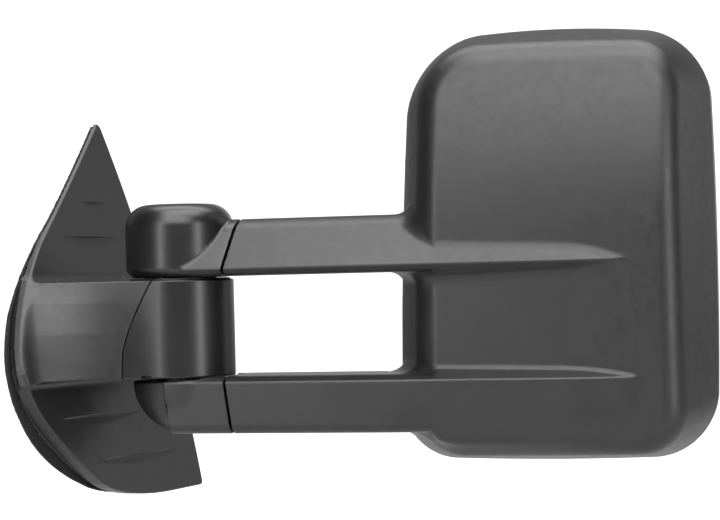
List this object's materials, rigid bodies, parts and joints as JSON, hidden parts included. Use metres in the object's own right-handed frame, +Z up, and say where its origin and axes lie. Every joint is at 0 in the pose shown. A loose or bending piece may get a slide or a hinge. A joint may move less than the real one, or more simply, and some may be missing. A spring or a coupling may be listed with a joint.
{
  "type": "extending towing mirror",
  "caption": "Left door towing mirror: a rounded black head on twin telescoping arms that fold about a door bracket, with a flat upper glass and a convex lower glass.",
  "frame": {"origin": "centre of the bracket's flat face against the door", "axes": "+X outboard along the two arms, +Y to the rear of the vehicle (the glass side), +Z up"},
  "size_m": [0.5121, 0.2005, 0.3349],
  "materials": {
    "textured_plastic": "fine-grained black moulding",
    "satin_plastic": "smooth satin black moulding",
    "inner_plastic": "plain glass-filled black moulding",
    "nylon": "natural nylon, slightly waxy",
    "seal_rubber": "soft foamed rubber",
    "coated_steel": "black electrocoat over steel",
    "cast_alloy": "as-cast alloy",
    "zinc_steel": "zinc plated",
    "spring_steel": "oiled spring wire",
    "mirror_glass": "silvered glass"
  },
  "bodies": {
    "base": {"base_bracket": "cast_alloy", "sail_cover": "textured_plastic", "neck_cover": "satin_plastic", "base_plate": "inner_plastic", "door_gasket": "seal_rubber", "door_stud_1": "zinc_steel", "door_stud_2": "zinc_steel", "door_stud_3": "zinc_steel", "door_nut_1": "zinc_steel", "door_nut_2": "zinc_steel", "door_nut_3": "zinc_steel", "cover_screw_1": "zinc_steel", "cover_screw_2": "zinc_steel", "cover_screw_3": "zinc_steel", "knuckle_bush_upper": "nylon", "knuckle_bush_lower": "nylon", "detent_ring": "nylon"},
    "fold_arm": {"upper_root_cover": "satin_plastic", "lower_root_cover": "textured_plastic", "upper_root_casting": "cast_alloy", "lower_root_casting": "cast_alloy", "pivot_post": "zinc_steel", "post_bolt_upper": "zinc_steel", "post_bolt_lower": "zinc_steel", "pivot_spring": "spring_steel", "spring_washer": "zinc_steel", "spring_nut": "zinc_steel", "upper_slide_tube": "coated_steel", "lower_slide_tube": "coated_steel", "upper_tube_plug": "nylon", "lower_tube_plug": "nylon"},
    "head": {"head_housing": "textured_plastic", "upper_sleeve_cover": "textured_plastic", "lower_sleeve_cover": "textured_plastic", "head_frame": "inner_plastic", "frame_screw_1": "zinc_steel", "frame_screw_2": "zinc_steel", "frame_screw_3": "zinc_steel", "frame_screw_4": "zinc_steel", "upper_mouth_glide": "inner_plastic", "lower_mouth_glide": "inner_plastic", "upper_collar_glide": "nylon", "lower_collar_glide": "nylon", "head_bezel": "satin_plastic", "main_pivot_base": "inner_plastic", "spot_pivot_base": "inner_plastic"},
    "main_gimbal": {"main_pivot_ring": "nylon"},
    "main_mirror": {"main_glass_carrier": "inner_plastic", "main_glass": "mirror_glass"},
    "spot_gimbal": {"spot_pivot_ring": "nylon"},
    "spot_mirror": {"spot_glass_carrier": "inner_plastic", "spot_glass": "mirror_glass"}
  },
  "joints": [
    {"name": "fold", "type": "hinge", "parent": "base", "child": "fold_arm", "pos_m": [0.0886, -0.01, 0.05], "axis": [0, 0, 1], "range_deg": [-60, 72]},
    {"name": "extend", "type": "slide", "parent": "fold_arm", "child": "head", "axis": [1, 0, 0], "range_m": [0, 0.09]},
    {"name": "main_glass_pitch", "type": "hinge", "parent": "head", "child": "main_gimbal", "pos_m": [0.3601, 0.024, 0.118], "axis": [1, 0, 0], "range_deg": [-8, 8]},
    {"name": "main_glass_yaw", "type": "hinge", "parent": "main_gimbal", "child": "main_mirror", "pos_m": [0.3601, 0.024, 0.118], "axis": [0, 0, 1], "range_deg": [-8, 8]},
    {"name": "spot_glass_pitch", "type": "hinge", "parent": "head", "child": "spot_gimbal", "pos_m": [0.3601, 0.024, -0.032], "axis": [1, 0, 0], "range_deg": [-8, 8]},
    {"name": "spot_glass_yaw", "type": "hinge", "parent": "spot_gimbal", "child": "spot_mirror", "pos_m": [0.3601, 0.024, -0.032], "axis": [0, 0, 1], "range_deg": [-8, 8]}
  ]
}
